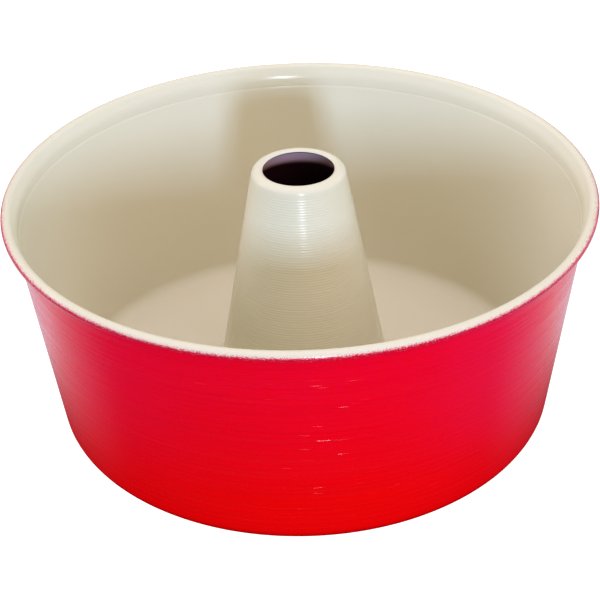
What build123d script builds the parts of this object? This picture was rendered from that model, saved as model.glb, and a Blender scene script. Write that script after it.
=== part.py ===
"""Tube cake pan (bundt pan): a spun aluminium pan with a separate spun centre tube.

The pan's rim is rolled outward into a hem.  The tube comes up through a raised boss in the
floor: its foot flange bears on the floor from below and a rolled bead holds it from above.
Inside the pan both pieces carry a cream lining, outside they carry a red coat, and only the
standing ring under the base is bare.

Millimetres, +Z up.  The origin is on the surface the pan stands on, on the pan's axis.
"""
import os
from math import asin, atan, cos, degrees, radians, sin, tan

from build123d import *

# ---- driving dimensions ----
pan_sheet = 1.5             # spun sheet of the pan
tube_sheet = 1.2            # spun sheet of the tube
coat = 0.12                 # every coat, inside and out

rim_radius = 120.0          # over the rolled hem, coats included
rim_height = 99.8           # top of the hem
hem_radius = 2.2            # of the hem's round section, coats included
hem_end = -112.0            # where the hem's curl ends, degrees above horizontal
lining_end = 8.0            # where the lining ends on the hem and the red coat begins, degrees
hem_seal = 0.2              # length of flare that the coat sealing the hem's mouth covers

wall_radius_at_rim = 116.3  # the wall's outer face drawn on up to the rim's height
wall_slope = 0.135          # radius lost per millimetre of drop
base_corner = 7.9           # outer radius between wall and base, coat included
wall_drop = 9.9             # the straight wall ends this far below the rim
step_drop = 9.0             # top of the small step above it
flare_drop = 5.0            # start of the flare into the hem
collar_lean = 0.52          # how far the collar between step and flare leans outward
flare_lean = 26.0           # of the flare, degrees from vertical
wall_bends = (3.0, 3.0, 11.0)   # bend radii at the wall's end, the step's top and the flare

ring_height = 0.4           # the standing ring stands proud of the base by this much
ring_inner = 88.0
ring_outer = 94.0

boss_rise = 1.6             # the floor round the tube is raised by this much
boss_top = 45.5             # radius where the flat top of the boss ends
boss_foot = 50.0            # radius where its ramp reaches the floor
boss_bend = 3.0

tube_neck = 38.0            # the neck in the floor hole
tube_flange = 43.6          # foot flange under the floor
tube_foot = 38.2            # over the lining, where the drawn-on cone meets the floor
tube_slope = 0.1825         # radius lost per millimetre of rise
tube_height = 108.7         # crest of the tube's top
tube_shoulder = 3.2         # rounding from the cone up to the crest, lining included
tube_lip = 2.0              # rounding from the crest down into the hole, lining included
hole_radius = 14.5          # of the open top
bead_height = 2.2           # clamp bead above the floor
bead_proud = 0.75

# ---- derived sizes ----
wall_lean = atan(wall_slope)
tube_lean = atan(tube_slope)
floor_top = ring_height + pan_sheet
boss_floor = floor_top + boss_rise
lined_boss = boss_floor + coat
flange_top = ring_height + boss_rise
flange_base = flange_top - tube_sheet
hem_metal = hem_radius - coat
hem_center = (rim_radius - hem_radius, rim_height - hem_radius)


def polar(center, radius, angle):
    """Point at an angle in degrees round a centre in the section plane."""
    return (center[0] + radius * cos(radians(angle)), center[1] + radius * sin(radians(angle)))


def wall_inner(height):
    """Radius of the pan sheet's inner face on the straight wall."""
    drop = rim_height - height
    return wall_radius_at_rim - wall_slope * drop - (coat + pan_sheet) / cos(wall_lean)


def flare_point(below_hem, depth):
    """Point at a depth in the pan's sheet, down the flare from where it meets the hem."""
    lean = radians(flare_lean)
    return (
        hem_meet[0] - below_hem * sin(lean) + depth * cos(lean),
        hem_meet[1] - below_hem * cos(lean) - depth * sin(lean),
    )


def tube_outer(height):
    """Radius of the tube sheet's outer face on the cone."""
    return tube_foot - tube_slope * (height - floor_top) - coat / cos(tube_lean)


def strip(thickness, side, *lines):
    """Outline of the strip between joined section lines and their offset."""
    with BuildLine() as outline:
        for line in lines:
            add(line.line)
        offset(amount=thickness, side=side)
    return outline.edges()


# ---- section lines of the pan: its inner face, drawn as (radius, height) ----
hem_meet = polar(hem_center, hem_metal, 180 - flare_lean)
flare_length = (flare_drop - rim_height + hem_meet[1]) / cos(radians(flare_lean))
flare_start = flare_point(flare_length, 0)
seal_low = hem_metal + hem_seal

with BuildLine() as hole_skin:                   # round the floor hole, over the tube's flange
    Line((tube_neck, boss_floor), (tube_flange, boss_floor))

with BuildLine() as floor_skin:                  # from the flange to the standing ring
    FilletPolyline(
        (tube_flange, boss_floor),
        (boss_top, boss_floor),
        (boss_foot, floor_top),
        (ring_inner, floor_top),
        radius=boss_bend,
    )

with BuildLine() as ring_skin:                   # over the standing ring
    Line((ring_inner, floor_top), (ring_outer, floor_top))

with BuildLine() as wall_skin:                   # corner, wall, step, collar and flare
    FilletPolyline(
        (ring_outer, floor_top),
        (wall_inner(floor_top), floor_top),
        (wall_inner(rim_height - wall_drop), rim_height - wall_drop),
        (flare_start[0] - collar_lean, rim_height - step_drop),
        flare_start,
        flare_point(seal_low, 0),
        radius=[base_corner - coat - pan_sheet, *wall_bends],
    )

with BuildLine() as flare_skin:                  # the last of the flare, behind the hem
    Line(flare_point(seal_low, 0), hem_meet)

with BuildLine() as hem_top:                     # the lined part of the hem
    ThreePointArc(
        hem_meet,
        polar(hem_center, hem_metal, 90),
        polar(hem_center, hem_metal, lining_end),
    )

with BuildLine() as hem_under:                   # the red part of the hem
    ThreePointArc(
        polar(hem_center, hem_metal, lining_end),
        polar(hem_center, hem_metal, (lining_end + hem_end) / 2),
        polar(hem_center, hem_metal, hem_end),
    )

pan_skin = (hole_skin, floor_skin, ring_skin, wall_skin, flare_skin, hem_top)

# ---- section lines of the tube: its outer face ----
shoulder_height = tube_height - tube_shoulder
shoulder_in = (tube_shoulder - coat) / cos(tube_lean)
crest_radius = tube_outer(shoulder_height) - shoulder_in
shoulder_center = (crest_radius, shoulder_height)
shoulder_start = polar(shoulder_center, tube_shoulder - coat, degrees(tube_lean))
lip_center = (crest_radius, tube_height - tube_lip)
lip_end = 90 + degrees(asin((crest_radius - hole_radius) / tube_lip))
bead_top = (tube_outer(lined_boss + bead_height), lined_boss + bead_height)

with BuildLine() as neck_skin:                   # flange and neck, covered by the floor
    Polyline((tube_flange, flange_top), (tube_neck, flange_top), (tube_neck, lined_boss))

with BuildLine() as tube_skin:                   # bead, cone, shoulder and turned-in lip
    ThreePointArc(
        (tube_neck, lined_boss),
        (tube_neck + bead_proud, lined_boss + bead_height / 2),
        bead_top,
    )
    Line(bead_top, shoulder_start)
    ThreePointArc(
        shoulder_start,
        polar(shoulder_center, tube_shoulder - coat, 45 + degrees(tube_lean) / 2),
        polar(shoulder_center, tube_shoulder - coat, 90),
    )
    ThreePointArc(
        polar(lip_center, tube_lip - coat, 90),
        polar(lip_center, tube_lip - coat, 45 + lip_end / 2),
        polar(lip_center, tube_lip - coat, lip_end),
    )

# ---- pieces ----
with BuildPart() as pan_body:
    with BuildSketch(Plane.XZ):
        make_face(strip(pan_sheet, Side.RIGHT, *pan_skin))
        make_face(strip(pan_sheet, Side.RIGHT, hem_under))
    revolve(axis=Axis.Z)
    with BuildSketch(Plane.XY):
        Circle(ring_outer)
        Circle(ring_inner, mode=Mode.SUBTRACT)
    extrude(amount=ring_height)

with BuildPart() as center_tube:
    with BuildSketch(Plane.XZ):
        make_face(strip(tube_sheet, Side.LEFT, neck_skin, tube_skin))
    revolve(axis=Axis.Z)

with BuildPart() as pan_lining:
    with BuildSketch(Plane.XZ):
        make_face(strip(coat, Side.LEFT, *pan_skin))
    revolve(axis=Axis.Z)

with BuildPart() as tube_lining:
    with BuildSketch(Plane.XZ):
        make_face(strip(coat, Side.RIGHT, tube_skin))
    revolve(axis=Axis.Z)
    split(bisect_by=Plane.XY.offset(lined_boss), keep=Keep.TOP)

with BuildPart() as wall_coat:
    with BuildSketch(Plane.XZ):
        make_face(strip(pan_sheet + coat, Side.RIGHT, wall_skin))
        make_face(strip(pan_sheet, Side.RIGHT, wall_skin), mode=Mode.SUBTRACT)
        make_face(strip(coat, Side.LEFT, hem_under))
        with BuildLine():
            Polyline(
                flare_point(hem_metal, pan_sheet),
                flare_point(seal_low, pan_sheet),
                flare_point(seal_low, pan_sheet + coat),
                polar(hem_center, hem_radius, hem_end),
                polar(hem_center, hem_metal, hem_end),
                close=True,
            )
        make_face()
    revolve(axis=Axis.Z)

with BuildPart() as base_coat:
    with BuildSketch(Plane.XZ):
        make_face(strip(pan_sheet + coat, Side.RIGHT, floor_skin))
        make_face(strip(pan_sheet, Side.RIGHT, floor_skin), mode=Mode.SUBTRACT)
    revolve(axis=Axis.Z)

with BuildPart() as tube_coat:
    with BuildSketch(Plane.XZ):
        make_face(strip(tube_sheet + coat, Side.LEFT, neck_skin, tube_skin))
        make_face(strip(tube_sheet, Side.LEFT, neck_skin, tube_skin), mode=Mode.SUBTRACT)
        with BuildLine():
            Polyline(
                (tube_flange, flange_base - coat),
                (tube_flange + coat, flange_base - coat),
                (tube_flange + coat, flange_top - coat),
                (tube_flange, flange_top - coat),
                close=True,
            )
        make_face()
    revolve(axis=Axis.Z)

os.makedirs("parts", exist_ok=True)

pan_body.part.label = "pan_body"
export_step(pan_body.part, "parts/pan_body.step")

center_tube.part.label = "center_tube"
export_step(center_tube.part, "parts/center_tube.step")

pan_lining.part.label = "pan_lining"
export_step(pan_lining.part, "parts/pan_lining.step")

tube_lining.part.label = "tube_lining"
export_step(tube_lining.part, "parts/tube_lining.step")

wall_coat.part.label = "wall_coat"
export_step(wall_coat.part, "parts/wall_coat.step")

base_coat.part.label = "base_coat"
export_step(base_coat.part, "parts/base_coat.step")

tube_coat.part.label = "tube_coat"
export_step(tube_coat.part, "parts/tube_coat.step")
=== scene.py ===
"""Looks of the tube cake pan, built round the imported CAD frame.

Every piece is a body of revolution, so each is a closed section outline turned round +Z.  The
section is drawn in millimetres, as (radius, height), from the pan's own driving dimensions, and
the lathe writes metres.
"""

from math import asin, atan, atan2, ceil, cos, degrees, hypot, pi, radians, sin, tan
from random import Random

import bpy
from mathutils import Matrix, Vector


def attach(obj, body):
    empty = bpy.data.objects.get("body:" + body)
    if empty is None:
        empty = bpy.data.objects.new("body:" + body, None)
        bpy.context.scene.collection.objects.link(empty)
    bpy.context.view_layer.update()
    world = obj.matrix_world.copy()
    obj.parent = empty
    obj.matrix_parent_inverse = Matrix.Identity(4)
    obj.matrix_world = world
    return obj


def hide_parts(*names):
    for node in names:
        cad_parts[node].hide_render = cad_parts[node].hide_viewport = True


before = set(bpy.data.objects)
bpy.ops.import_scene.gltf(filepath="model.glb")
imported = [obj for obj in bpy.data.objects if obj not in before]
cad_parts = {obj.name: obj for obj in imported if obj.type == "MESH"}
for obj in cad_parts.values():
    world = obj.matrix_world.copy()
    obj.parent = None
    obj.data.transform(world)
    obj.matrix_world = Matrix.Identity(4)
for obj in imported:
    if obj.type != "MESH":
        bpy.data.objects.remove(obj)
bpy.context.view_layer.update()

MM = 0.001

# ---- the pan's driving dimensions, millimetres ----
PAN_SHEET = 1.5             # spun sheet of the pan
TUBE_SHEET = 1.2            # spun sheet of the tube
COAT = 0.12                 # every coat, inside and out

RIM_RADIUS = 120.0          # over the rolled hem, coats included
RIM_HEIGHT = 99.8           # top of the hem
HEM_RADIUS = 2.2            # of the hem's round section, coats included
HEM_END = -112.0            # where the hem's curl ends, degrees above horizontal
LINING_END = 8.0            # where the lining ends on the hem and the red coat begins, degrees
HEM_SEAL = 0.2              # length of flare that the coat sealing the hem's mouth covers

WALL_RADIUS_AT_RIM = 116.3  # the wall's outer face drawn on up to the rim's height
WALL_SLOPE = 0.135          # radius lost per millimetre of drop
BASE_CORNER = 7.9           # outer radius between wall and base, coat included
WALL_DROP = 9.9             # the straight wall ends this far below the rim
STEP_DROP = 9.0             # top of the small step above it
FLARE_DROP = 5.0            # start of the flare into the hem
COLLAR_LEAN = 0.52          # how far the collar between step and flare leans outward
FLARE_LEAN = 26.0           # of the flare, degrees from vertical
WALL_BENDS = (5.4, 5.4, 11.0)   # bend radii at the wall's end, the step's top and the flare

RING_HEIGHT = 0.4           # the standing ring stands proud of the base by this much
RING_INNER = 88.0
RING_OUTER = 94.0

BOSS_RISE = 1.6             # the floor round the tube is raised by this much
BOSS_TOP = 45.5             # radius where the flat top of the boss ends
BOSS_FOOT = 50.0            # radius where its ramp reaches the floor
BOSS_BEND = 3.0

TUBE_NECK = 38.0            # the neck in the floor hole
NECK_BEND = 0.02            # takes the sharpness off the neck's corner, so that it offsets cleanly
TUBE_FLANGE = 43.6          # foot flange under the floor
TUBE_FOOT = 38.2            # over the lining, where the drawn-on cone meets the floor
TUBE_SLOPE = 0.1825         # radius lost per millimetre of rise
TUBE_HEIGHT = 108.7         # crest of the tube's top
TUBE_SHOULDER = 3.2         # rounding from the cone up to the crest, lining included
TUBE_LIP = 2.0              # rounding from the crest down into the hole, lining included
HOLE_RADIUS = 14.5          # of the open top
BEAD_HEIGHT = 2.2           # clamp bead above the floor
BEAD_PROUD = 0.75

# ---- how finely the sections are drawn and turned ----
ARC_STEP = 7.0              # degrees between points on a section's arcs
ARC_LEAST = 3               # fewest steps along an arc
BEAD_STEPS = 10             # along the bead
PAN_TURNS = 288             # steps once round the pan, and once round the tube
TUBE_TURNS = 192
SHARP_ANGLE = 25.0          # degrees between faces from which an edge is drawn sharp

# ---- fine marks, millimetres ----
CREASE_DROP = 9.0           # crease in the lining over the step, below the rim
CREASE_ABOVE = 0.4          # it fades out over this much above, and below
CREASE_BELOW = 3.0
CREASE_DEPTH = 0.065
CREASE_STEP = CREASE_ABOVE / 5      # between section points

RIDGE_PITCH = 1.1           # lathe ridges down the tube
RIDGE_DEPTH = 0.045
RIDGE_FADE = (3.0, 1.5)     # at the foot and at the head
RIDGE_STEP = 0.18           # between section points
SPIN_PITCH = 1.05           # spin lines round the outside of the wall
SPIN_DEPTH = 0.034
BAND_PITCH = 2.7            # broader bands under the spin lines
BAND_DEPTH = 0.024
SPIN_FADE = (6.0, 6.0)
SPIN_STEP = 0.26
# each wave of a ripple: its rate against the pitch, its share of the depth and its phase
RIPPLE_WAVES = ((1.0, 0.8, 0.3), (1.13, 0.16, 1.7), (0.57, 0.12, 4.1), (2.17, 0.06, 2.6))

NICKS = 240                 # small raised nicks on the outside of the wall
NICK_HEIGHTS = (10.0, 86.0)
NICK_PROUD = (0.08, 0.16)   # least and most
NICK_LONGEST = 2            # in turns of the lathe
NICK_MIDDLE = 275.0         # where round the wall they gather, in degrees, and how widely
NICK_SPREAD = 11.0
NICK_SEED = 11


# ---- colours ----
def rgb(red, green, blue):
    """Colour with no transparency."""
    return (red, green, blue, 1.0)


WHITE = rgb(1.0, 1.0, 1.0)
CREAM = rgb(0.68, 0.635, 0.52)
CREAM_DEEP = rgb(0.67, 0.625, 0.51)
RED = rgb(0.85, 0.0, 0.002)
RED_DEEP = rgb(0.78, 0.0, 0.002)
RED_GRAIN_AND_SHEEN = rgb(0.80, 0.0, 0.06)     # paler, bluer speckle, more of it higher up the wall: partly the coat's own speckle, partly a painted bluish reflection on the upper wall
RED_PAINTED_SHADE = rgb(0.45, 0.0, 0.06)    # painted shade: darker red on the hem's lower half and just under it, where the hem shades the wall
HEM_PINK = rgb(0.60, 0.01, 0.08)    # red overspray on the cream
RED_IOR = 1.55
BORE_RED = rgb(0.05, 0.010, 0.018)
BORE_DEEP = rgb(0.035, 0.006, 0.012)
BORE_PAINTED_LIGHT = rgb(0.60, 0.38, 0.41)   # painted light: a paler band at the tube's mouth, where the lamp lights the bore's back wall
METAL_DARK = rgb(0.70, 0.70, 0.71)
METAL_LIGHT = rgb(0.86, 0.86, 0.87)

GRAIN_AND_SHEEN_HEIGHTS = (22.0, 92.0)        # the paler speckle and its painted bluish reflection come in over these heights
SHADE_RISE = 1.0                    # the painted shade starts this far under the hem
SHADE_MOST = 0.5                    # its share at the hem's middle
BORE_MOUTH = (100.6, 102.6)         # the painted light in the bore comes in over these heights
OVERSPRAY_LIFT = (-0.25, 0.75)      # the red's edge is raised by this much, at the front and at the back
OVERSPRAY_TURN = (-112.0, -30.0)    # from one to the other over this distance along Y
OVERSPRAY_RAGGED = 0.18             # the edge strays by this much up and down
OVERSPRAY_SOFT = (-1.4, 0.2)        # it comes in from this far above the edge to this far below
OVERSPRAY_SPECKS = (0.8, 1.3)       # less than the first is bare, more than the second is covered

# ---- gloss and relief ----
NOISE_RANGE = (0.25, 0.75)          # nearly all of a noise lies between these
CREAM_ROUGHNESS = (0.17, 0.23)
RED_ROUGHNESS = (0.19, 0.33)
BORE_ROUGHNESS = (0.55, 0.65)
METAL_ROUGHNESS = (0.22, 0.4)
METAL_GROOVES = 3.5                 # per millimetre of radius
METAL_RELIEF = 0.02                 # these reliefs are in millimetres
CREAM_PEEL = 0.003
PAN_RINGS = 0.003
TUBE_RINGS = 0.02
RED_PEEL = 0.012
RED_LINES = 0.045
BORE_LINES = 0.01

# ---- stage, distances in millimetres ----
FLOOR_SIZE = 8000.0
FLOOR_HEIGHT = -0.2
FLOOR_SEEN = 1.1                # what the camera sees of floor and backdrop
FLOOR_GLOW = 0.6                # what the floor lights the pan with
FLOOR_SHEEN = 1.24              # what the pan's gloss shows of the floor
BOUNCE_PINK = rgb(1.0, 0.3, 0.4)    # the floor's light comes off the pan's red wall
SHEEN_BLUE = rgb(0.50, 0.80, 0.89)
UNDER_PAN = (95.0, 115.0)       # the floor's glow grows over this distance from the axis
FLOOR_NEAR = (100.0, 150.0)     # its sheen grows over this one
FLOOR_FAR = (260.0, 560.0)      # and ends over this one
FLOOR_FRONT = (-80.0, 20.0)     # and grows from the front to the back over this one
CORNER_BLUE = rgb(0.10, 0.22, 1.0)  # bluer sheen of the floor at the pan's front corners
CORNER_SHEEN = (0.22, 0.44)     # on the left and on the right
CORNER_TURN = (-50.0, 50.0)     # from left to right over this distance along X
CORNER_START = (40.0, 110.0)    # it grows over this distance to either side
CORNER_FRONT = (-170.0, -110.0)     # and from the front over this one
CORNER_BACK = (-60.0, 0.0)      # and ends over this one
TINY = 0.001                    # keeps a share from being divided by nothing
WORLD_SEEN = rgb(FLOOR_SEEN, FLOOR_SEEN, FLOOR_SEEN)
WORLD_LIGHT = rgb(0.406, 0.365, 0.18)
WORLD_SHEEN = rgb(0.30, 0.34, 0.40)

# ---- camera, in millimetres and degrees ----
CAMERA_LENS = 102.25
CAMERA_SENSOR = 36.0
CAMERA_NEAR = 10.0              # nothing nearer than this is drawn
CAMERA_DISTANCE = 717.6
CAMERA_AIM = 45.45              # height on the pan's axis that it looks at
CAMERA_AZIMUTH = 270.0
CAMERA_ELEVATION = 32.627
CAMERA_YAW = 0.105
CAMERA_ROLL = -1.8915


# ---- section lines ----
def polar(center, radius, angle):
    """Point at an angle in degrees round a centre in the section plane."""
    return (center[0] + radius * cos(radians(angle)), center[1] + radius * sin(radians(angle)))


def arc(center, radius, start, end):
    """Points along an arc, ends included."""
    steps = max(ARC_LEAST, ceil(abs(end - start) / ARC_STEP))
    return [polar(center, radius, start + (end - start) * i / steps) for i in range(steps + 1)]


def rounded(corners, radii):
    """Points of an open polyline whose inner corners are rounded to the radii."""
    points = [corners[0]]
    for before, corner, after, radius in zip(corners, corners[1:], corners[2:], radii):
        arrive = atan2(corner[1] - before[1], corner[0] - before[0])
        leave = atan2(after[1] - corner[1], after[0] - corner[0])
        turn = (leave - arrive + pi) % (2 * pi) - pi
        side = 1 if turn > 0 else -1
        cut = radius * tan(abs(turn) / 2)
        start = (corner[0] - cut * cos(arrive), corner[1] - cut * sin(arrive))
        center = (start[0] - side * radius * sin(arrive), start[1] + side * radius * cos(arrive))
        first = degrees(arrive) - side * 90
        points += arc(center, radius, first, first + degrees(turn))
    return points + [corners[-1]]


def divided(line, step):
    """The same line with no gap between points over the step."""
    points = [line[0]]
    for a, b in zip(line, line[1:]):
        pieces = max(1, ceil(hypot(b[0] - a[0], b[1] - a[1]) / step))
        points += [
            (a[0] + (b[0] - a[0]) * i / pieces, a[1] + (b[1] - a[1]) * i / pieces)
            for i in range(1, pieces + 1)
        ]
    return points


def joined(*lines):
    """One line from several that meet end to start."""
    points = list(lines[0])
    for line in lines[1:]:
        points += line[1:]
    return points


def normals(line):
    """Left-hand normal at each point, stretched at a corner so that an offset keeps its distance."""
    found = []
    for i in range(len(line)):
        ways = []
        for a, b in ((i - 1, i), (i, i + 1)):
            if 0 <= a and b < len(line):
                dx, dz = line[b][0] - line[a][0], line[b][1] - line[a][1]
                size = hypot(dx, dz)
                ways.append((-dz / size, dx / size))
        nx, nz = sum(w[0] for w in ways) / len(ways), sum(w[1] for w in ways) / len(ways)
        square = nx * nx + nz * nz
        found.append((nx / square, nz / square))
    return found


def beside(line, amount):
    """The line moved to its left by an amount, one number or one for each point."""
    amounts = amount if isinstance(amount, list) else [amount] * len(line)
    return [(p[0] + n[0] * a, p[1] + n[1] * a) for p, n, a in zip(line, normals(line), amounts)]


def bulge(start, end, proud, count):
    """Shallow bulge to the right of the way from start to end, as part of a parabola."""
    out = proud / hypot(end[0] - start[0], end[1] - start[1])
    return [
        (
            start[0] + (end[0] - start[0]) * t + (end[1] - start[1]) * out * 4 * t * (1 - t),
            start[1] + (end[1] - start[1]) * t - (end[0] - start[0]) * out * 4 * t * (1 - t),
        )
        for t in (i / count for i in range(count + 1))
    ]


def shell(inside, outside):
    """Closed outline between two lines that run the same way."""
    return inside + outside[::-1]


wall_lean = atan(WALL_SLOPE)
tube_lean = atan(TUBE_SLOPE)
floor_top = RING_HEIGHT + PAN_SHEET
boss_floor = floor_top + BOSS_RISE
lined_boss = boss_floor + COAT
flange_top = RING_HEIGHT + BOSS_RISE
flange_base = flange_top - TUBE_SHEET
hem_metal = HEM_RADIUS - COAT
hem_center = (RIM_RADIUS - HEM_RADIUS, RIM_HEIGHT - HEM_RADIUS)
hem_meet = polar(hem_center, hem_metal, 180 - FLARE_LEAN)


def wall_inner(height):
    """Radius of the pan sheet's inner face on the straight wall."""
    drop = RIM_HEIGHT - height
    return WALL_RADIUS_AT_RIM - WALL_SLOPE * drop - (COAT + PAN_SHEET) / cos(wall_lean)


def flare_point(below_hem, depth):
    """Point at a depth in the pan's sheet, down the flare from where it meets the hem."""
    lean = radians(FLARE_LEAN)
    return (
        hem_meet[0] - below_hem * sin(lean) + depth * cos(lean),
        hem_meet[1] - below_hem * cos(lean) - depth * sin(lean),
    )


def tube_outer(height):
    """Radius of the tube sheet's outer face on the cone."""
    return TUBE_FOOT - TUBE_SLOPE * (height - floor_top) - COAT / cos(tube_lean)


flare_start = flare_point((FLARE_DROP - RIM_HEIGHT + hem_meet[1]) / cos(radians(FLARE_LEAN)), 0)
seal_low = hem_metal + HEM_SEAL

# the pan's inner face, from the floor hole outward and up to the hem
hole_skin = [(TUBE_NECK, boss_floor), (TUBE_FLANGE, boss_floor)]
floor_skin = rounded(
    [
        (TUBE_FLANGE, boss_floor),
        (BOSS_TOP, boss_floor),
        (BOSS_FOOT, floor_top),
        (RING_INNER, floor_top),
    ],
    [BOSS_BEND, BOSS_BEND],
)
ring_skin = [(RING_INNER, floor_top), (RING_OUTER, floor_top)]
wall_skin = rounded(
    [
        (RING_OUTER, floor_top),
        (wall_inner(floor_top), floor_top),
        (wall_inner(RIM_HEIGHT - WALL_DROP), RIM_HEIGHT - WALL_DROP),
        (flare_start[0] - COLLAR_LEAN, RIM_HEIGHT - STEP_DROP),
        flare_start,
        flare_point(seal_low, 0),
    ],
    [BASE_CORNER - COAT - PAN_SHEET, *WALL_BENDS],
)
flare_skin = [flare_point(seal_low, 0), hem_meet]
hem_top = arc(hem_center, hem_metal, 180 - FLARE_LEAN, LINING_END)
hem_under = arc(hem_center, hem_metal, LINING_END, HEM_END)
pan_skin = joined(hole_skin, floor_skin, ring_skin, wall_skin, flare_skin, hem_top)

# the tube's outer face, from its foot flange up and over into the hole
shoulder_height = TUBE_HEIGHT - TUBE_SHOULDER
crest_radius = tube_outer(shoulder_height) - (TUBE_SHOULDER - COAT) / cos(tube_lean)
lip_center = (crest_radius, TUBE_HEIGHT - TUBE_LIP)
lip_end = 90 + degrees(asin((crest_radius - HOLE_RADIUS) / TUBE_LIP))
bead_top = (tube_outer(lined_boss + BEAD_HEIGHT), lined_boss + BEAD_HEIGHT)
neck_skin = [(TUBE_FLANGE, flange_top), (TUBE_NECK, flange_top), (TUBE_NECK, lined_boss)]
bead_skin = bulge((TUBE_NECK, lined_boss), bead_top, BEAD_PROUD, BEAD_STEPS)
shoulder_skin = arc((crest_radius, shoulder_height), TUBE_SHOULDER - COAT, degrees(tube_lean), 90)
lip_skin = arc(lip_center, TUBE_LIP - COAT, 90, lip_end)
cone_skin = [bead_top, shoulder_skin[0]]
tube_skin = joined(bead_skin, cone_skin, shoulder_skin, lip_skin)


# ---- fine marks ----
def ripple(height, pitch, depth):
    """Uneven lathe ridge: sines near one pitch that drift in and out of step."""
    return depth * sum(
        share * sin(2 * pi * height * rate / pitch + phase) for rate, share, phase in RIPPLE_WAVES
    )


def ridged(line, fades, pitch, depth):
    """Extra thickness at each point of a line: the ripple, fading in at its foot and out at its head."""
    low, high = line[0][1], line[-1][1]
    return [
        ripple(z, pitch, depth) * max(0.0, min(1.0, (z - low) / fades[0], (high - z) / fades[1]))
        for _, z in line
    ]


def creased(line):
    """Lining thickness at each point of a line: the coat, less the crease over the wall's step."""
    crease = RIM_HEIGHT - CREASE_DROP
    away = [(z - crease) / (CREASE_ABOVE if z > crease else CREASE_BELOW) for _, z in line]
    return [COAT - CREASE_DEPTH * max(0.0, 1 - share * share) ** 2 for share in away]


def wall_nicks(outline):
    """How far each nicked point of the wall's outer face stands proud, by its turn and place."""
    draw = Random(NICK_SEED)
    low, high = NICK_HEIGHTS
    face = [
        i for i, (r, z) in enumerate(outline)
        if low < z < high and r > wall_inner(z) + PAN_SHEET + COAT / 2
    ]
    marks = {}
    for _ in range(NICKS):
        place = draw.choice(face)
        turn = round(draw.gauss(NICK_MIDDLE, NICK_SPREAD) / 360 * PAN_TURNS)
        proud = draw.uniform(*NICK_PROUD)
        for further in range(draw.randint(1, NICK_LONGEST)):
            marks[(turn + further) % PAN_TURNS, place] = proud
    return marks


def lathe(name, outline, turns, node, material, marks):
    """Piece made by turning a closed outline of (radius, height) round +Z, hung under the root body, with
    its node's CAD part hidden.
    """
    count = len(outline)
    points = []
    for t in range(turns):
        c, s = cos(2 * pi * t / turns), sin(2 * pi * t / turns)
        for i, (r, z) in enumerate(outline):
            reach = (r + marks.get((t, i), 0.0)) * MM
            points.append((reach * c, reach * s, z * MM))
    area = sum(a[0] * b[1] - b[0] * a[1] for a, b in zip(outline, outline[1:] + outline[:1]))
    faces = []
    for t in range(turns):
        here, there = t * count, (t + 1) % turns * count
        for i in range(count):
            j = (i + 1) % count
            corner = (here + i, there + i, there + j, here + j)
            faces.append(corner if area > 0 else corner[::-1])
    mesh = bpy.data.meshes.new(name)
    mesh.from_pydata(points, [], faces)
    mesh.polygons.foreach_set("use_smooth", [True] * len(faces))
    mesh.set_sharp_from_angle(angle=radians(SHARP_ANGLE))
    mesh.materials.append(material)
    piece = bpy.data.objects.new(name, mesh)
    bpy.context.scene.collection.objects.link(piece)
    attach(piece, "root")
    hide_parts(node)


# ---- materials ----
class Nodes:
    """Short calls for a material's node tree."""

    def __init__(self, name):
        self.material = bpy.data.materials.new(name)
        self.material.use_nodes = True
        self.tree = self.material.node_tree
        self.shader = self.tree.nodes["Principled BSDF"]

    def link(self, value, socket):
        """Feed a socket from another socket or with a plain value."""
        if isinstance(value, bpy.types.NodeSocket):
            self.tree.links.new(value, socket)
        else:
            socket.default_value = value

    def node(self, kind, settings=None, **inputs):
        """New node of a kind, with its settings and inputs."""
        made = self.tree.nodes.new("ShaderNode" + kind)
        for key, value in (settings or {}).items():
            setattr(made, key, value)
        for key, value in inputs.items():
            self.link(value, made.inputs[key])
        return made

    def math(self, operation, a, b=0.0):
        """One operation on one or two numbers."""
        made = self.node("Math", {"operation": operation})
        self.link(a, made.inputs[0])
        self.link(b, made.inputs[1])
        return made.outputs[0]

    def place(self, scale):
        """The object's own coordinates, in millimetres, stretched by a scale along each axis."""
        where = self.node("TexCoord").outputs["Object"]
        return self.node("Mapping", Vector=where, Scale=[s / MM for s in scale]).outputs["Vector"]

    def noise(self, scale, detail=2.0, low=0.0, high=1.0):
        """Noise with about this many grains a millimetre along each axis, spread over low to high."""
        raw = self.node("TexNoise", Vector=self.place(scale), Scale=1.0, Detail=detail)
        return self.spread(raw.outputs["Fac"], *NOISE_RANGE, low, high)

    def spread(self, value, from_low, from_high, to_low=0.0, to_high=1.0):
        """A number's range moved to another range, and held inside it."""
        made = self.node("MapRange", {"clamp": True})
        for socket, number in zip(made.inputs, (value, from_low, from_high, to_low, to_high)):
            self.link(number, socket)
        return made.outputs["Result"]

    def mix(self, share, first, second):
        """Colour between two, by a share."""
        made = self.node("Mix", {"data_type": "RGBA"})
        self.link(share, made.inputs[0])
        self.link(first, made.inputs[6])
        self.link(second, made.inputs[7])
        return made.outputs[2]

    def along(self, axis):
        """The object's own coordinate along an axis, in millimetres."""
        where = self.node("TexCoord").outputs["Object"]
        return self.math("MULTIPLY", self.node("SeparateXYZ", Vector=where).outputs[axis], 1 / MM)

    def radius(self):
        """Distance from the pan's axis, in millimetres."""
        square = self.math(
            "ADD", self.math("POWER", self.along("X"), 2.0), self.math("POWER", self.along("Y"), 2.0)
        )
        return self.math("SQRT", square)

    def bump(self, value, distance, over=None):
        """Normal of a relief whose height of 1 is a distance in millimetres."""
        made = self.node("Bump", Height=value, Distance=distance * MM, Strength=1.0)
        if over is not None:
            self.link(over, made.inputs["Normal"])
        return made.outputs["Normal"]

    def finish(self, **inputs):
        """The material, with the shader's inputs fed."""
        for key, value in inputs.items():
            self.link(value, self.shader.inputs[key.replace("_", " ")])
        return self.material


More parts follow.
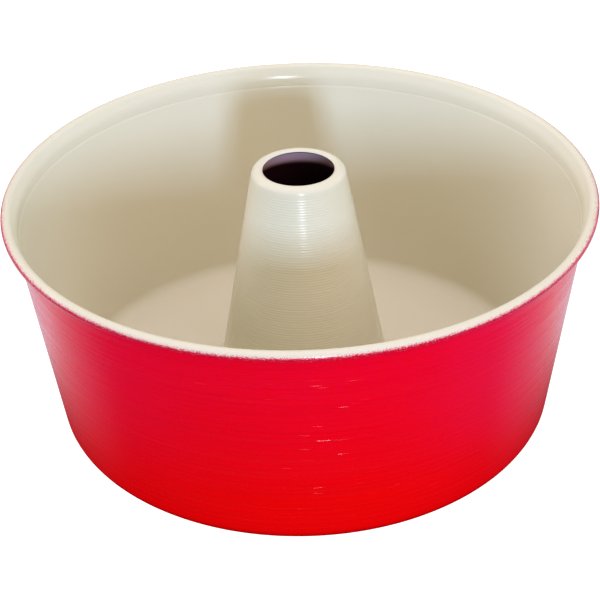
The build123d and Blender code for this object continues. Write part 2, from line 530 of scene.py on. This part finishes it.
def overspray(n):
    """Share of red round the hem: a ragged, speckled edge that breaks up into specks above it."""
    edge = hem_center[1] + HEM_RADIUS * sin(radians(LINING_END))
    ragged = n.noise((0.7, 0.7, 0.7), detail=3.0, low=-OVERSPRAY_RAGGED, high=OVERSPRAY_RAGGED)
    lift = n.spread(n.along("Y"), *OVERSPRAY_TURN, *OVERSPRAY_LIFT)
    below = n.math("ADD", n.math("SUBTRACT", edge, n.along("Z")), n.math("ADD", ragged, lift))
    soft = n.spread(below, *OVERSPRAY_SOFT)
    speckle = n.noise((3.0, 3.0, 3.0), detail=1.0)
    return n.spread(n.math("ADD", soft, speckle), *OVERSPRAY_SPECKS)


def hem_side(n):
    """1 on the outer half of the hem, and 0 on everything nearer the axis."""
    return n.math("GREATER_THAN", n.radius(), hem_center[0])


def cream_material(name, on_tube):
    """Cream non-stick, satin and faintly mottled: over lathe rings on the tube, oversprayed on the hem."""
    n = Nodes(name)
    color = n.mix(n.noise((0.01, 0.01, 0.02), detail=1.0), CREAM, CREAM_DEEP)
    if not on_tube:
        color = n.mix(n.math("MULTIPLY", overspray(n), hem_side(n)), color, HEM_PINK)
    peel = n.bump(n.noise((0.6, 0.6, 0.6), detail=1.0), CREAM_PEEL)
    rings = n.noise((0.01, 0.01, 1.4), detail=1.0)
    normal = n.bump(rings, TUBE_RINGS if on_tube else PAN_RINGS, over=peel)
    roughness = n.noise((0.2, 0.2, 0.4), 2.0, *CREAM_ROUGHNESS)
    return n.finish(Base_Color=color, Roughness=roughness, Normal=normal)


def red_material(name, on_wall):
    """Red coat: semi-gloss and streaked along the spin lines, with an orange peel and a paler speckle that
    is partly a painted bluish reflection higher up; on the wall, painted shade under the hem.
    """
    n = Nodes(name)
    color = n.mix(n.noise((0.015, 0.015, 0.7), detail=3.0), RED, RED_DEEP)
    # partly real speckle, partly a painted bluish reflection: the paler, bluer speckle grows up the wall
    grain_and_sheen = n.noise((1.8, 1.8, 2.4), detail=1.0)
    grain_and_sheen = n.math("MULTIPLY", grain_and_sheen, n.spread(n.along("Z"), *GRAIN_AND_SHEEN_HEIGHTS))
    color = n.mix(grain_and_sheen, color, RED_GRAIN_AND_SHEEN)
    if on_wall:
        hem_low = hem_center[1] - HEM_RADIUS
        bare = n.math("MULTIPLY", n.math("SUBTRACT", 1.0, overspray(n)), hem_side(n))
        # painted shade: the red darkens over the hem's lower half and just under it, where the hem shades
        # the wall
        shade = n.spread(n.along("Z"), hem_low - SHADE_RISE, hem_center[1], 0.0, SHADE_MOST)
        color = n.mix(bare, n.mix(shade, color, RED_PAINTED_SHADE), CREAM)
    peel = n.bump(n.noise((1.3, 1.3, 1.3)), RED_PEEL)
    normal = n.bump(n.noise((0.02, 0.02, 1.2), detail=3.0), RED_LINES, over=peel)
    roughness = n.noise((0.015, 0.015, 0.5), 3.0, *RED_ROUGHNESS)
    return n.finish(Base_Color=color, Roughness=roughness, Normal=normal, IOR=RED_IOR)


def metal_material(name):
    """Turned aluminium, with fine grooves round the axis."""
    n = Nodes(name)
    turned = n.node(
        "TexNoise", {"noise_dimensions": "1D"}, W=n.radius(), Scale=METAL_GROOVES, Detail=2.0
    )
    groove = turned.outputs["Fac"]
    color = n.mix(groove, METAL_DARK, METAL_LIGHT)
    roughness = n.spread(groove, 0.3, 0.7, *METAL_ROUGHNESS)
    normal = n.bump(groove, METAL_RELIEF)
    return n.finish(Base_Color=color, Metallic=1.0, Roughness=roughness, Normal=normal)


def bore_material(name):
    """Dark red coat inside the tube, sprayed thin and dull, with a paler band of painted light at its
    mouth.
    """
    n = Nodes(name)
    color = n.mix(n.noise((0.1, 0.1, 0.4)), BORE_RED, BORE_DEEP)
    # painted light: the paler band near the tube's mouth stands in for the lamp lighting the bore
    color = n.mix(n.spread(n.along("Z"), *BORE_MOUTH), color, BORE_PAINTED_LIGHT)
    roughness = n.noise((0.3, 0.3, 0.6), 2.0, *BORE_ROUGHNESS)
    normal = n.bump(n.noise((0.05, 0.05, 1.2)), BORE_LINES)
    return n.finish(Base_Color=color, Roughness=roughness, Normal=normal)


# ---- pieces ----
metal_skin = joined(pan_skin, hem_under)
standing_ring = [
    (RING_INNER, RING_HEIGHT),
    (RING_INNER, 0.0),
    (RING_OUTER, 0.0),
    (RING_OUTER, RING_HEIGHT),
]
under = beside(metal_skin, -PAN_SHEET)
under_floor = [p for p in under if p[0] < RING_INNER]
under_wall = [p for p in under if p[0] > RING_OUTER]
pan_metal = shell(metal_skin, under_floor + standing_ring + under_wall)

fine_from = next(i for i, (_, z) in enumerate(pan_skin) if z > RIM_HEIGHT - CREASE_DROP - CREASE_BELOW)
fine_skin = pan_skin[:fine_from] + divided(pan_skin[fine_from:], CREASE_STEP)
pan_lining = shell(fine_skin, beside(fine_skin, creased(fine_skin)))

wall_line = divided(wall_skin, SPIN_STEP)
spin = ridged(wall_line, SPIN_FADE, SPIN_PITCH, SPIN_DEPTH)
bands = ridged(wall_line, SPIN_FADE, BAND_PITCH, BAND_DEPTH)
wall_face = beside(wall_line, [-PAN_SHEET - COAT - fine - broad for fine, broad in zip(spin, bands)])
wall_coat = shell(
    beside(wall_line, -PAN_SHEET) + [flare_point(hem_metal, PAN_SHEET)] + hem_under[::-1],
    wall_face + arc(hem_center, HEM_RADIUS, HEM_END, LINING_END),
)

base_coat = shell(beside(floor_skin, -PAN_SHEET), beside(floor_skin, -PAN_SHEET - COAT))

neck_round = rounded(neck_skin, [NECK_BEND])
plain_tube = joined(neck_round, [neck_round[-1], bead_top], cone_skin, shoulder_skin, lip_skin)
tube_inside = beside(plain_tube, TUBE_SHEET)
tube_metal = shell(joined(neck_skin, tube_skin), tube_inside)
flange_edge = [
    (TUBE_FLANGE, flange_top - COAT),
    (TUBE_FLANGE + COAT, flange_top - COAT),
    (TUBE_FLANGE + COAT, flange_base - COAT),
]
tube_coat = shell(tube_inside, flange_edge + beside(plain_tube, TUBE_SHEET + COAT)[1:])

cone_line = divided(cone_skin, RIDGE_STEP)
ridges = ridged(cone_line, RIDGE_FADE, RIDGE_PITCH, RIDGE_DEPTH)
lined_tube = joined(bead_skin, cone_line, shoulder_skin, lip_skin)
plain_head = len(shoulder_skin) + len(lip_skin) - 2
lining_depth = [-COAT] * (len(bead_skin) - 1) + [-COAT - ridge for ridge in ridges] + [-COAT] * plain_head
tube_face = [(r, max(z, lined_boss)) for r, z in beside(lined_tube, lining_depth)]
tube_lining = shell(lined_tube, tube_face)

aluminium = metal_material("turned_aluminium")
cream = cream_material("cream_nonstick", on_tube=False)
tube_cream = cream_material("cream_over_ridges", on_tube=True)
red = red_material("red_over_spin_lines", on_wall=True)
base_red = red_material("red_base_coat", on_wall=False)
bore_red = bore_material("red_bore_coat")
for name, outline, turns, node, material, marks in (
    ("spun_pan", pan_metal, PAN_TURNS, "pan_body", aluminium, {}),
    ("spun_tube", tube_metal, TUBE_TURNS, "center_tube", aluminium, {}),
    ("cream_inside", pan_lining, PAN_TURNS, "pan_lining", cream, {}),
    ("cream_tube", tube_lining, TUBE_TURNS, "tube_lining", tube_cream, {}),
    ("red_wall", wall_coat, PAN_TURNS, "wall_coat", red, wall_nicks(wall_coat)),
    ("red_base", base_coat, PAN_TURNS, "base_coat", base_red, {}),
    ("red_bore", tube_coat, TUBE_TURNS, "tube_coat", bore_red, {}),
):
    lathe(name, outline, turns, node, material, marks)


# ---- floor and backdrop ----
def studio_floor():
    """Pale floor that only glows: white to the camera, and its own light and sheen for the pan."""
    n = Nodes("white_floor")
    n.tree.nodes.remove(n.shader)
    away = n.radius()
    across = n.along("X")
    back = n.along("Y")
    light = n.spread(away, *UNDER_PAN, 0.0, FLOOR_GLOW)
    ring = n.math("MULTIPLY", n.spread(away, *FLOOR_NEAR), n.spread(away, *FLOOR_FAR, 1.0, 0.0))
    sheen = n.math("MULTIPLY", ring, n.spread(back, *FLOOR_FRONT, 0.0, FLOOR_SHEEN))
    corners = ring
    for share in (
        n.spread(n.math("ABSOLUTE", across), *CORNER_START),
        n.spread(across, *CORNER_TURN, *CORNER_SHEEN),
        n.spread(back, *CORNER_FRONT),
        n.spread(back, *CORNER_BACK, 1.0, 0.0),
    ):
        corners = n.math("MULTIPLY", corners, share)
    mirrored = n.math("ADD", sheen, corners)
    corner_share = n.math("DIVIDE", corners, n.math("MAXIMUM", mirrored, TINY))
    strength = 0.0
    color = WHITE
    ray = n.node("LightPath").outputs
    for kind, amount, tint in (
        ("Is Camera Ray", FLOOR_SEEN, WHITE),
        ("Is Diffuse Ray", light, BOUNCE_PINK),
        ("Is Glossy Ray", mirrored, n.mix(corner_share, SHEEN_BLUE, CORNER_BLUE)),
    ):
        strength = n.math("ADD", strength, n.math("MULTIPLY", ray[kind], amount))
        color = n.mix(ray[kind], color, tint)
    glow = n.node("Emission", Color=color, Strength=strength)
    n.link(glow.outputs[0], n.tree.nodes["Material Output"].inputs["Surface"])
    n.material.cycles.emission_sampling = "NONE"

    half = FLOOR_SIZE / 2 * MM
    square = ((-half, -half), (half, -half), (half, half), (-half, half))
    mesh = bpy.data.meshes.new("studio_floor")
    mesh.from_pydata([(x, y, FLOOR_HEIGHT * MM) for x, y in square], [], [(0, 1, 2, 3)])
    mesh.materials.append(n.material)
    floor = bpy.data.objects.new("studio_floor", mesh)
    bpy.context.scene.collection.objects.link(floor)


def studio_world():
    """White all round to the camera, and a dimmer light of its own for the pan and for its gloss."""
    world = bpy.data.worlds.new("studio")
    bpy.context.scene.world = world
    world.use_nodes = True
    tree = world.node_tree
    path = tree.nodes.new("ShaderNodeLightPath")
    seen = tree.nodes.new("ShaderNodeMix")
    mirrored = tree.nodes.new("ShaderNodeMix")
    for mix, ray, color in ((seen, "Is Camera Ray", WORLD_SEEN), (mirrored, "Is Glossy Ray", WORLD_SHEEN)):
        mix.data_type = "RGBA"
        tree.links.new(path.outputs[ray], mix.inputs[0])
        mix.inputs[7].default_value = color
    seen.inputs[6].default_value = WORLD_LIGHT
    tree.links.new(seen.outputs[2], mirrored.inputs[6])
    tree.links.new(mirrored.outputs[2], tree.nodes["Background"].inputs["Color"])


studio_floor()
studio_world()
bpy.context.scene.cycles.caustics_reflective = False


# ---- lights ----
def toward(azimuth, elevation):
    """Unit vector at an azimuth from +X and an elevation, in degrees."""
    flat = cos(radians(elevation))
    return Vector((flat * cos(radians(azimuth)), flat * sin(radians(azimuth)), sin(radians(elevation))))


def area_light(name, azimuth, elevation, distance, width, height, power, color, diffuse, shiny):
    """Softbox aimed at the middle of the pan's mouth, that lights its colours, its gloss or both."""
    light = bpy.data.lights.new(name, "AREA")
    light.shape = "RECTANGLE"
    light.size = width
    light.size_y = height
    light.energy = power
    light.color = color
    made = bpy.data.objects.new(name, light)
    aim = Vector((0, 0, RIM_HEIGHT * MM))
    made.location = aim + toward(azimuth, elevation) * distance
    made.rotation_euler = (aim - made.location).to_track_quat("-Z", "Y").to_euler()
    made.visible_diffuse = diffuse
    made.visible_glossy = shiny
    bpy.context.scene.collection.objects.link(made)


# name, azimuth, elevation, distance, width, height, watts, colour, lights colours, shows in the gloss
for light in (
    ("key_light", 275.0, 9.3, 2.5, 0.30, 0.46, 39.2, (0.472, 0.667, 1.0), True, False),
    ("key_mirror", 275.0, 9.3, 2.5, 0.30, 0.46, 18.0, (0.75, 0.85, 1.0), False, True),
    ("left_softbox", 150.0, 18.0, 2.0, 1.8, 0.9, 23.1, (0.81, 0.80, 1.0), True, False),
    ("left_strip", 167.0, 24.0, 2.0, 0.10, 0.3, 1.0, (1.0, 1.0, 1.0), True, True),
    ("right_softbox", 40.0, 18.0, 2.0, 1.5, 0.9, 14.2, (0.44, 0.68, 1.0), True, False),
    ("right_strip", 30.0, 24.0, 2.0, 0.10, 0.3, 0.5, (1.0, 1.0, 1.0), True, True),
    ("front_panel", 310.0, 35.0, 2.0, 1.6, 1.1, 8.6, (1.0, 0.885, 0.955), True, False),
    ("front_left_panel", 225.0, 20.0, 2.0, 1.3, 0.9, 1.4, (0.0, 0.48, 1.0), True, False),
    ("top_panel", 90.0, 88.0, 2.0, 1.2, 1.2, 20.3, (0.85, 0.805, 1.0), True, False),
):
    area_light(*light)

# ---- camera ----
camera_data = bpy.data.cameras.new("photo_camera")
camera_data.lens = CAMERA_LENS
camera_data.sensor_width = CAMERA_SENSOR
camera_data.clip_start = CAMERA_NEAR * MM
camera = bpy.data.objects.new("photo_camera", camera_data)
bpy.context.scene.collection.objects.link(camera)
bpy.context.scene.camera = camera

forward = toward(CAMERA_AZIMUTH - 180.0 + CAMERA_YAW, -CAMERA_ELEVATION)
right = forward.cross(Vector((0, 0, 1))).normalized()
up = right.cross(forward)
roll_cos, roll_sin = cos(radians(CAMERA_ROLL)), sin(radians(CAMERA_ROLL))
across = roll_cos * right + roll_sin * up
upward = roll_cos * up - roll_sin * right
rotation = Matrix((across, upward, -forward)).transposed().to_4x4()
stand = Vector((0, 0, CAMERA_AIM * MM)) + toward(CAMERA_AZIMUTH, CAMERA_ELEVATION) * CAMERA_DISTANCE * MM
camera.matrix_world = Matrix.Translation(stand) @ rotation

bpy.context.scene.view_settings.view_transform = "Standard"
bpy.context.scene.view_settings.look = "Medium High Contrast"
